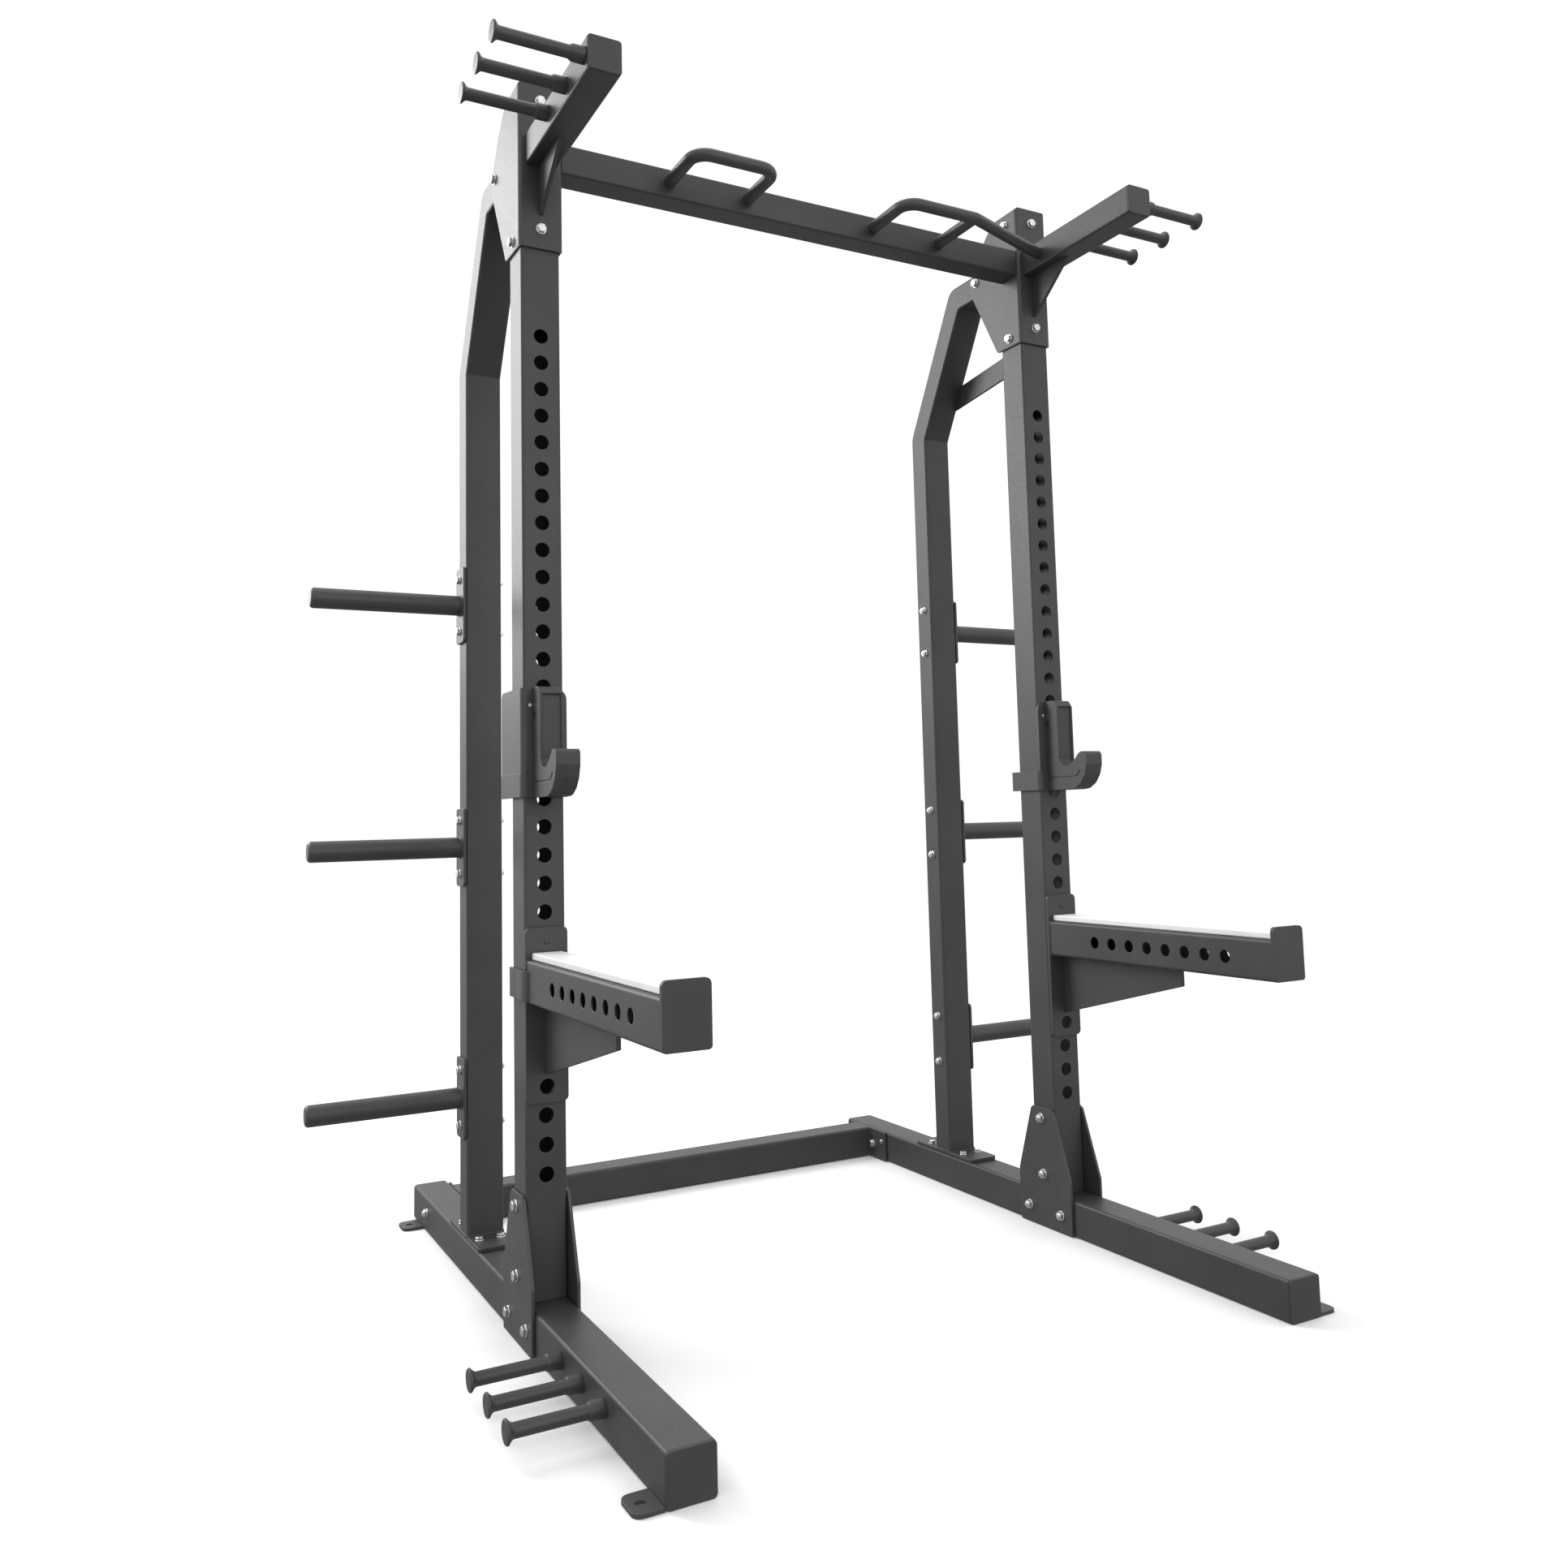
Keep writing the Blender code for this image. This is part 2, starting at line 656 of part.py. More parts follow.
# ---------------------------------------------------------------- top crossbar
plate_face = inner_face - GAP - BRACKET_T - GAP
bar = box(
    "crossbar",
    (-plate_face, 0.0, BAR_Z - BAR / 2),
    (plate_face, BAR, BAR_Z + BAR / 2),
)
cut(bar, box(
    "crossbar_bore",
    (-SPAN, WALL, BAR_Z - BAR / 2 + WALL),
    (SPAN, BAR - WALL, BAR_Z + BAR / 2 - WALL),
    cutters,
))
finish(bar, "frame")

# ---------------------------------------------------------------- pull-up handles
left_path = [
    (-HANDLE_OUT, -GAP, BAR_Z),
    (-HANDLE_OUT, -HANDLE_REACH, BAR_Z),
    (-HANDLE_IN, -HANDLE_REACH, BAR_Z),
    (-HANDLE_IN, -GAP, BAR_Z),
]
left_handle = wire("left_handle", rounded(left_path, HANDLE_BEND), HANDLE_D)
finish(left_handle, "peg")

reach = HANDLE_REACH + 0.006
right_path = [
    (HANDLE_IN, -GAP, BAR_Z),
    (HANDLE_IN, -reach, BAR_Z),
    (HANDLE_OUT + 0.002, -reach, BAR_Z),
    (SPAN / 2 + 0.010, -0.0465, BAR_Z),
]
right_handle = wire("right_handle", rounded(right_path, HANDLE_BEND), HANDLE_D)
outrigger_face = SPAN / 2 - BAR / 2 - GAP
post_path = [(HANDLE_OUT, -GAP, BAR_Z), (HANDLE_OUT, -reach, BAR_Z)]
post = wire("right_handle_post", post_path, HANDLE_D * 0.98, cutters)
join(right_handle, post)
cut(right_handle, box("handle_trim", (outrigger_face, -0.20, 2.10), (0.70, 0.10, 2.25), cutters))
finish(right_handle, "peg")

# ---------------------------------------------------------------- place and shade
# the origin lies on the floor under the middle of the rack's outer box
middle_y = (ARM_FRONT - STOP + FOOT_REAR) / 2.0
for obj in list(parts.objects) + list(cutters.objects):
    obj.location.y -= middle_y

for obj in parts.objects:
    if any(tag in obj.name for tag in ("peg", "handle")):
        obj.data.shade_smooth()
        obj.data.set_sharp_from_angle(angle=math.radians(35.0))
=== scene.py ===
"""Looks of the half rack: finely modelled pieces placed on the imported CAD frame."""

import math

import bmesh
import bpy
from mathutils import Matrix, Vector


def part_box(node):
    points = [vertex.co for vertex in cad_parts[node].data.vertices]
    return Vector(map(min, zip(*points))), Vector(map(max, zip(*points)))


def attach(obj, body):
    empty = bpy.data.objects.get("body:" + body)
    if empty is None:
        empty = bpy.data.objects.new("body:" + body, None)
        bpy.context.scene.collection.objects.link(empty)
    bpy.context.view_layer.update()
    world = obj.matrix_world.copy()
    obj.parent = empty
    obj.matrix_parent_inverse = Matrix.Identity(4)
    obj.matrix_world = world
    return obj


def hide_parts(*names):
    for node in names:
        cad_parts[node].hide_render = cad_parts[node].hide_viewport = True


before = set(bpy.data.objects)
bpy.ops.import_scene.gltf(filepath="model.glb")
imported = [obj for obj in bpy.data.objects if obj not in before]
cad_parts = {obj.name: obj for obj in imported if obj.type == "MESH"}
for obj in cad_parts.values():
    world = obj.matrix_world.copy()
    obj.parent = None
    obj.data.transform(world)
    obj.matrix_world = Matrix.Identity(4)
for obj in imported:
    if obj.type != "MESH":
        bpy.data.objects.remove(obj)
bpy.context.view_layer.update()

MM = 0.001
GAP = 0.3 * MM                 # clearance between touching pieces
CORNER = 6 * MM                # outside corner radius of the large tubes
WALL = 3 * MM

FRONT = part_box("left_upright")[0].y          # plane of the uprights' front faces
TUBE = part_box("left_upright")[1].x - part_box("left_upright")[0].x
HALF = TUBE / 2.0
PITCH = 50.8 * MM              # adjustment hole pitch
FIRST_HOLE = 0.289
HOLES = 31
HOLE_D = 27 * MM
PLATE = 6 * MM                 # usual plate thickness
CLEAR = 1e-4                   # how far a trimming outline stays off the faces it must not cut
PAST = 0.01                    # how far a cutting tool runs past the piece

LEG_FRONT = 0.402              # from the uprights' front faces back to the leg's
LEG_DEPTH = 0.060
LEG_BEND = 1.864               # height where the leg's front face starts to slope
LEG_TILT = math.tan(math.radians(30.0))      # of the slope, from the vertical

CUP_PIN = 16                   # pin holes, counted from zero at the lowest one
ARM_PINS = (5, 8)
OPEN_HOLE = 3                  # hole that shows through the arm's mounting plate
ARM_HOLES = 8
ARM_HOLE_D = 24 * MM
ARM_FIRST_HOLE = 0.152         # from the upright's front face to the arm's rearmost hole
ARM_UNDERSIDE = 0.589
STOP_TOP = 0.687

# bolt places: (Y, Z) on the gussets and brackets, (X, Y) on the leg's base plate
BASE_BOLTS = ((0.041, 0.233), (0.039, 0.114), (0.091, 0.038), (-0.014, 0.038))
BRACKET_BOLTS = ((0.157, 2.183), (0.0375, 2.003), (0.0375, 2.276))
LEG_BOLTS = ((-0.0215, 0.370), (-0.0215, 0.500), (0.0215, 0.370), (0.0215, 0.500))


# ---------------------------------------------------------------- materials
def node_tree(name):
    """New material with its node tree and its shader."""
    mat = bpy.data.materials.new(name)
    mat.use_nodes = True
    tree = mat.node_tree
    return mat, tree, tree.nodes["Principled BSDF"]


def noise(tree, scale, detail=3.0, stretch=(1.0, 1.0, 1.0)):
    """Noise on the piece's own coordinates, in metres."""
    coords = tree.nodes.new("ShaderNodeTexCoord")
    mapping = tree.nodes.new("ShaderNodeMapping")
    mapping.inputs["Scale"].default_value = stretch
    texture = tree.nodes.new("ShaderNodeTexNoise")
    texture.inputs["Scale"].default_value = scale
    texture.inputs["Detail"].default_value = detail
    tree.links.new(coords.outputs["Object"], mapping.inputs["Vector"])
    tree.links.new(mapping.outputs["Vector"], texture.inputs["Vector"])
    return texture


def ramp(tree, source, low, high, socket):
    """Turns a noise value into a colour between low and high and feeds a socket with it."""
    node = tree.nodes.new("ShaderNodeValToRGB")
    node.color_ramp.elements[0].position = 0.35
    node.color_ramp.elements[1].position = 0.65
    node.color_ramp.elements[0].color = (*low, 1.0)
    node.color_ramp.elements[1].color = (*high, 1.0)
    tree.links.new(source.outputs["Fac"], node.inputs["Fac"])
    tree.links.new(node.outputs["Color"], socket)


def spread(tree, source, low, high, socket):
    """Turns a noise value into a number between low and high and feeds a socket with it."""
    node = tree.nodes.new("ShaderNodeMapRange")
    node.inputs["From Min"].default_value = 0.3
    node.inputs["From Max"].default_value = 0.7
    node.inputs["To Min"].default_value = low
    node.inputs["To Max"].default_value = high
    tree.links.new(source.outputs["Fac"], node.inputs["Value"])
    tree.links.new(node.outputs["Result"], socket)


def bump(tree, shader, layers):
    """Adds bump layers, each (noise, strength, distance)."""
    last = None
    for texture, strength, distance in layers:
        node = tree.nodes.new("ShaderNodeBump")
        node.inputs["Strength"].default_value = strength
        node.inputs["Distance"].default_value = distance
        tree.links.new(texture.outputs["Fac"], node.inputs["Height"])
        if last is not None:
            tree.links.new(last.outputs["Normal"], node.inputs["Normal"])
        last = node
    tree.links.new(last.outputs["Normal"], shader.inputs["Normal"])


def powder_coat(name, tone, rough, grain):
    """Charcoal powder coat: faint mottling, orange peel and a fine grain."""
    mat, tree, shader = node_tree(name)
    cloud = noise(tree, 9.0, 4.0)
    peel = noise(tree, 260.0, 2.0)
    fine = noise(tree, grain, 2.0)
    dark = tuple(0.90 * c for c in tone)
    light = tuple(1.10 * c for c in tone)
    ramp(tree, cloud, dark, light, shader.inputs["Base Color"])
    spread(tree, peel, rough - 0.04, rough + 0.04, shader.inputs["Roughness"])
    bump(tree, shader, [(peel, 0.10, 0.3 * MM), (fine, 0.10, 0.1 * MM)])
    return mat


def zinc(name):
    """Bright plated steel of the bolts."""
    mat, tree, shader = node_tree(name)
    shader.inputs["Metallic"].default_value = 1.0
    cloud = noise(tree, 180.0, 3.0)
    fine = noise(tree, 1500.0, 2.0)
    ramp(tree, cloud, (0.62, 0.62, 0.61), (0.86, 0.86, 0.85), shader.inputs["Base Color"])
    spread(tree, cloud, 0.22, 0.38, shader.inputs["Roughness"])
    bump(tree, shader, [(fine, 0.12, 0.1 * MM)])
    return mat


def moulded(name):
    """Black moulded plastic of the cup pads with a leather-like tooling grain."""
    mat, tree, shader = node_tree(name)
    cloud = noise(tree, 40.0, 3.0)
    grain = noise(tree, 1100.0, 3.0)
    ramp(tree, cloud, (0.034, 0.034, 0.035), (0.044, 0.044, 0.045), shader.inputs["Base Color"])
    spread(tree, cloud, 0.46, 0.56, shader.inputs["Roughness"])
    bump(tree, shader, [(grain, 0.25, 0.15 * MM)])
    return mat


def plastic_strip(name):
    """White wear strip with faint machining lines along its length."""
    mat, tree, shader = node_tree(name)
    lines = noise(tree, 420.0, 2.0, (1.0, 0.02, 1.0))
    cloud = noise(tree, 14.0, 3.0)
    ramp(tree, cloud, (0.80, 0.80, 0.79), (0.87, 0.87, 0.86), shader.inputs["Base Color"])
    spread(tree, lines, 0.40, 0.52, shader.inputs["Roughness"])
    bump(tree, shader, [(lines, 0.10, 0.2 * MM)])
    return mat


def pale_floor(name):
    """Matt white studio floor."""
    mat, tree, shader = node_tree(name)
    cloud = noise(tree, 0.7, 3.0)
    ramp(tree, cloud, (0.940, 0.940, 0.940), (0.955, 0.955, 0.955), shader.inputs["Base Color"])
    shader.inputs["Roughness"].default_value = 0.9
    shader.inputs["Specular IOR Level"].default_value = 0.1
    return mat


FRAME_COAT = powder_coat("frame_powder_coat", (0.040, 0.040, 0.0405), 0.47, 1300.0)
PLATE_COAT = powder_coat("plate_powder_coat", (0.046, 0.046, 0.0465), 0.46, 1500.0)
PEG_COAT = powder_coat("peg_powder_coat", (0.046, 0.046, 0.0465), 0.42, 1500.0)
ZINC = zinc("zinc_plating")
PAD = moulded("moulded_black_plastic")
STRIP = plastic_strip("white_wear_plastic")
FINISH = {"frame": FRAME_COAT, "plate": PLATE_COAT, "peg": PEG_COAT, "pad": PAD, "strip": STRIP}


# ---------------------------------------------------------------- mesh helpers
def build(name, bm):
    """Object at the row origin from a bmesh."""
    bmesh.ops.recalc_face_normals(bm, faces=bm.faces)
    mesh = bpy.data.meshes.new(name)
    bm.to_mesh(mesh)
    bm.free()
    obj = bpy.data.objects.new(name, mesh)
    bpy.context.scene.collection.objects.link(obj)
    return obj


def fillet(points, radii, steps=6):
    """Closed 2-D outline with its corners replaced by arcs; one radius, or one for each corner."""
    count = len(points)
    if not isinstance(radii, (list, tuple)):
        radii = [radii] * count
    out = []
    for i in range(count):
        corner = Vector(points[i])
        to_last = Vector(points[i - 1]) - corner
        to_next = Vector(points[(i + 1) % count]) - corner
        radius = radii[i]
        if radius <= 0.0:
            out.append(corner)
            continue
        u = to_last.normalized()
        v = to_next.normalized()
        half = u.angle(v) / 2.0
        back = min(radius / math.tan(half), 0.48 * to_last.length, 0.48 * to_next.length)
        radius = back * math.tan(half)
        centre = corner + (u + v).normalized() * (radius / math.sin(half))
        start = corner + u * back - centre
        end = corner + v * back - centre
        for k in range(steps + 1):
            out.append(centre + start.slerp(end, k / steps).normalized() * radius)
    return out


def rectangle(u0, v0, u1, v1):
    """Corners of a rectangle in order."""
    return [(u0, v0), (u1, v0), (u1, v1), (u0, v1)]


def section(width, height, radius, steps=6):
    """Rounded rectangle about the origin."""
    w = width / 2.0
    h = height / 2.0
    return fillet(rectangle(-w, -h, w, h), radius, steps)


def circle(radius, count):
    """Points of a circle about the origin."""
    turns = [2.0 * math.pi * k / count for k in range(count)]
    return [(radius * math.cos(turn), radius * math.sin(turn)) for turn in turns]


def shifted(outline, du, dv):
    """Outline moved by an offset."""
    return [(p[0] + du, p[1] + dv) for p in outline]


def place(axis, u, v, w):
    """Point from two coordinates across an axis and one along it."""
    if axis == "X":
        return Vector((w, u, v))
    if axis == "Y":
        return Vector((u, w, v))
    return Vector((u, v, w))


def slab(name, outline, axis, a, b):
    """Outline extruded along an axis from a to b."""
    bm = bmesh.new()
    low = [bm.verts.new(place(axis, p[0], p[1], min(a, b))) for p in outline]
    high = [bm.verts.new(place(axis, p[0], p[1], max(a, b))) for p in outline]
    bm.faces.new(low)
    bm.faces.new(high)
    for i in range(len(outline)):
        bm.faces.new((low[i - 1], low[i], high[i], high[i - 1]))
    return build(name, bm)


def beam(name, axis, centre, a, b, width, height, radius=CORNER):
    """Solid bar of rounded rectangular section along an axis."""
    return slab(name, shifted(section(width, height, radius), *centre), axis, a, b)


def tube_bore(axis, centre, a, b):
    """Cutting tool for the inside of a large tube."""
    inside = TUBE - 2 * WALL
    return beam("bore", axis, centre, a, b, inside, inside, WALL)


def bent_tube(name, outline, x0, x1, radius, ends):
    """Tube given by its side view in (Y, Z): its long edges are rounded, its end faces stay flat.
    ends holds a test for each end, true for the points of that end face."""
    obj = slab(name, outline, "X", x0, x1)
    bm = bmesh.new()
    bm.from_mesh(obj.data)
    edges = []
    for edge in bm.edges:
        first, second = (v.co for v in edge.verts)
        if abs(first.x - second.x) > 1e-6:
            continue
        if any(test(first) and test(second) for test in ends):
            continue
        edges.append(edge)
    bmesh.ops.bevel(
        bm, geom=edges, offset=radius, offset_type="OFFSET", segments=5, profile=0.5,
        affect="EDGES", clamp_overlap=True,
    )
    bm.to_mesh(obj.data)
    bm.free()
    return obj


def settle(obj):
    """Applies the object's modifiers to its mesh."""
    bpy.context.view_layer.update()
    graph = bpy.context.evaluated_depsgraph_get()
    mesh = bpy.data.meshes.new_from_object(obj.evaluated_get(graph))
    old = obj.data
    obj.modifiers.clear()
    obj.data = mesh
    bpy.data.meshes.remove(old)
    return obj


def carve(target, tool, operation="DIFFERENCE"):
    """Boolean of two closed meshes; the tool is used up."""
    modifier = target.modifiers.new("cut", "BOOLEAN")
    modifier.operation = operation
    modifier.solver = "EXACT"
    modifier.object = tool
    settle(target)
    bpy.data.objects.remove(tool, do_unlink=True)
    return target


def merge(name, *pieces):
    """One object out of several that overlap or touch."""
    bm = bmesh.new()
    for piece in pieces:
        bm.from_mesh(piece.data)
        bpy.data.objects.remove(piece, do_unlink=True)
    return build(name, bm)


def add_turned(bm, where, direction, profile, segments=40):
    """Adds a turned solid to a bmesh: profile of (radius, distance along the direction)."""
    turn = Vector((0.0, 0.0, 1.0)).rotation_difference(Vector(direction)).to_matrix().to_4x4()
    matrix = Matrix.Translation(Vector(where)) @ turn
    rings = []
    for radius, along in profile:
        if radius <= 0.0:
            rings.append([bm.verts.new(matrix @ Vector((0.0, 0.0, along)))])
            continue
        points = circle(radius, segments)
        rings.append([bm.verts.new(matrix @ Vector((u, v, along))) for u, v in points])
    for lower, upper in zip(rings, rings[1:]):
        for k in range(segments):
            following = (k + 1) % segments
            corners = [lower[k % len(lower)], lower[following % len(lower)]]
            corners += [upper[following % len(upper)], upper[k % len(upper)]]
            corners = list(dict.fromkeys(corners))
            if len(corners) > 2:
                bm.faces.new(corners)


def turned(name, where, direction, profile, segments=40):
    """Object made of one turned solid."""
    bm = bmesh.new()
    add_turned(bm, where, direction, profile, segments)
    return build(name, bm)


def drills(name, centres, direction, diameter, length):
    """Smooth cylinders centred on points, used as cutting tools."""
    bm = bmesh.new()
    radius = diameter / 2.0
    profile = [(0, 0), (radius, 0), (radius, length), (0, length)]
    back = Vector(direction) * (-length / 2.0)
    for centre in centres:
        add_turned(bm, Vector(centre) + back, direction, profile)
    return build(name, bm)


def bar(name, points, diameter):
    """Round bar along a poly line of close points."""
    curve = bpy.data.curves.new(name, "CURVE")
    curve.dimensions = "3D"
    curve.bevel_depth = diameter / 2.0
    curve.bevel_resolution = 9
    curve.use_fill_caps = True
    spline = curve.splines.new("POLY")
    spline.points.add(len(points) - 1)
    for point, co in zip(spline.points, points):
        point.co = (*co, 1.0)
    draft = bpy.data.objects.new(name, curve)
    bpy.context.scene.collection.objects.link(draft)
    bpy.context.view_layer.update()
    graph = bpy.context.evaluated_depsgraph_get()
    mesh = bpy.data.meshes.new_from_object(draft.evaluated_get(graph))
    bpy.data.objects.remove(draft, do_unlink=True)
    mesh.materials.clear()
    bm = bmesh.new()
    bm.from_mesh(mesh)
    bmesh.ops.remove_doubles(bm, verts=bm.verts, dist=1e-5)
    return build(name, bm)


def bends(points, radius, steps=10):
    """Open 3-D poly line with its inner corners replaced by arcs."""
    out = [Vector(points[0])]
    for i in range(1, len(points) - 1):
        corner = Vector(points[i])
        u = (Vector(points[i - 1]) - corner).normalized()
        v = (Vector(points[i + 1]) - corner).normalized()
        half = u.angle(v) / 2.0
        back = radius / math.tan(half)
        centre = corner + (u + v).normalized() * (radius / math.sin(half))
        start = corner + u * back - centre
        end = corner + v * back - centre
        for k in range(steps + 1):
            out.append(centre + start.slerp(end, k / steps).normalized() * radius)
    out.append(Vector(points[-1]))
    return out


def add_weld(bm, outline, radius):
    """Adds a rippled weld bead along a closed loop of 3-D points."""
    points = []
    count = len(outline)
    for i in range(count):
        first = Vector(outline[i])
        second = Vector(outline[(i + 1) % count])
        pieces = max(1, round((second - first).length / (2.2 * MM)))
        points += [first.lerp(second, k / pieces) for k in range(pieces)]
    centre = sum(points, Vector()) / len(points)
    sides = 8
    round_bead = circle(1.0, sides)
    rings = []
    for i, point in enumerate(points):
        along = (points[(i + 1) % len(points)] - points[i - 1]).normalized()
        across = along.cross(point - centre).normalized()
        over = across.cross(along)
        r = radius * (1.0 + 0.16 * math.sin(i * 1.9))
        rings.append([bm.verts.new(point + (across * u + over * v) * r) for u, v in round_bead])
    for last, ring in zip([rings[-1]] + rings, rings):
        for k in range(sides):
            following = (k + 1) % sides
            bm.faces.new((last[k], ring[k], ring[following], last[following]))


def polish(obj, width=0.8 * MM, angle=38.0, segments=2):
    """Small rounded edges and smooth shading."""
    obj.data.shade_smooth()
    modifier = obj.modifiers.new("edges", "BEVEL")
    modifier.width = width
    modifier.segments = segments
    modifier.limit_method = "ANGLE"
    modifier.angle_limit = math.radians(angle)
    modifier.harden_normals = True
    normals = obj.modifiers.new("normals", "WEIGHTED_NORMAL")
    normals.keep_sharp = True
    return obj


def smooth(obj):
    """Smooth shading without rounded edges."""
    obj.data.shade_smooth()
    return obj


def fit(obj, body, slot, *nodes, finish=None):
    """Gives a piece its finish, ties it to a body and lets it stand for its CAD nodes."""
    obj.data.materials.clear()
    obj.data.materials.append(finish or FINISH[slot])
    if nodes:
        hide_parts(*nodes)
    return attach(obj, body)


# ---------------------------------------------------------------- fasteners
def add_bolt(bm, where, direction, scale=1.0, nut=False):
    """Hexagon bolt head on a washer, or a nut with the bolt's end standing out of it."""
    washer = [(0, 0), (12.0, 0), (12.0, 1.5), (11.4, 2.0), (0, 2.0)]
    head = [(0, 1.9), (10.9, 1.9), (10.9, 8.4), (9.6, 9.6), (0, 9.6)]
    tip = [(0, 9.0), (6.0, 9.0), (6.0, 12.6), (5.2, 13.4), (0, 13.4)]
    size = 0.86 * scale * MM
    add_turned(bm, where, direction, [(r * size, z * size) for r, z in washer], 28)
    add_turned(bm, where, direction, [(r * size, z * size) for r, z in head], 6)
    if nut:
        add_turned(bm, where, direction, [(r * size, z * size) for r, z in tip], 20)


def bolts(name, body, places):
    """One object of bolts: places holds (point, direction, scale, nut)."""
    bm = bmesh.new()
    for where, direction, scale, nut in places:
        add_bolt(bm, where, direction, scale, nut)
    return fit(polish(build(name, bm), 0.5 * MM), body, "frame", finish=ZINC)


# ---------------------------------------------------------------- one side of the rack
def side(label, s):
    """Builds the left (s = -1) or right (s = +1) side frame with its cup and spotter arm."""
    low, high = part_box(label + "_upright")
    cx = (low.x + high.x) / 2.0
    welds = bmesh.new()

    def at(offset):
        """X at an offset measured outward from the upright's centre plane."""
        return cx + s * offset

    def yz(points):
        """Side view points, Y measured from the front face of the uprights."""
        return [(FRONT + y, z) for y, z in points]

    def name(part):
        """Full name of a piece on this side."""
        return label + "_" + part

    # upright: hollow tube, closed on top, drilled through both walls
    upright = beam(name("upright_tube"), "Z", (cx, FRONT + HALF), low.z, high.z, TUBE, TUBE)
    carve(upright, tube_bore("Z", (cx, FRONT + HALF), low.z - PAST, high.z - WALL))
    centres = [(cx, FRONT + HALF, FIRST_HOLE + i * PITCH) for i in range(HOLES)]
    carve(upright, drills("holes", centres, (0, 1, 0), HOLE_D, TUBE + 0.02))
    fit(polish(upright, 0.6 * MM), "frame", "frame", name("upright"))

    # foot with end plates
    foot_low, foot_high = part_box(name("foot"))
    foot = beam(name("foot_tube"), "Y", (cx, HALF), foot_low.y, foot_high.y, TUBE, TUBE)
    fit(polish(foot), "frame", "frame", name("foot"))
    for end in ("front", "rear"):
        a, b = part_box(name("foot_cap_" + end))
        cap = beam(name("foot_plate_" + end), "Y", (cx, HALF), a.y, b.y, TUBE, TUBE, 7 * MM)
        fit(polish(cap, 1.2 * MM), "frame", "frame", name("foot_cap_" + end))

    # floor tabs with an elongated hole
    for end in ("front", "rear"):
        a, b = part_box(name("floor_tab_" + end))
        reach = b.x - a.x
        width = b.y - a.y
        middle = ((a.x + b.x) / 2.0, (a.y + b.y) / 2.0)
        outer = 14 * MM
        radii = [0.0, outer, outer, 0.0] if s > 0 else [outer, 0.0, 0.0, outer]
        plan = fillet(rectangle(-reach / 2, -width / 2, reach / 2, width / 2), radii)
        tab = slab(name("anchor_tab_" + end), shifted(plan, *middle), "Z", a.z, b.z)
        slot_middle = (at(HALF + 0.024), middle[1])
        carve(tab, beam("slot", "Z", slot_middle, -0.01, 0.02, 16 * MM, 12 * MM, 5.7 * MM))
        fit(polish(tab, 0.7 * MM), "frame", "plate", name("floor_tab_" + end))

    # base gusset plates
    flare = 0.048
    outline = yz([
        (-flare, 0.001), (TUBE + flare, 0.001), (TUBE + flare, 0.112), (TUBE, 0.250),
        (TUBE - 0.008, 0.256), (0.008, 0.256), (0.0, 0.250), (-flare, 0.112),
    ])
    outline = fillet(outline, [3 * MM, 3 * MM, 8 * MM, 4 * MM, 4 * MM, 4 * MM, 4 * MM, 8 * MM])
    fasteners = []
    for part, facing in (("outer", 1), ("inner", -1)):
        a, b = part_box(name("base_gusset_" + part))
        gusset = slab(name("base_plate_" + part), outline, "X", a.x, b.x)
        fit(polish(gusset), "frame", "plate", name("base_gusset_" + part))
        x = at(facing * (HALF + GAP + PLATE))
        for y, z in BASE_BOLTS:
            fasteners.append(((x, FRONT + y, z), (facing * s, 0, 0), 1.0, facing < 0))
    bolts(name("base_bolts"), "frame", fasteners)

    rear_leg(label, cx, yz, welds)
    top(label, cx, yz, at, s)
    pegs(label, at, s, welds)
    cup(label, cx, yz, s)
    spotter(label, cx, yz, s)
    fit(smooth(build(name("weld_beads"), welds)), "frame", "frame")


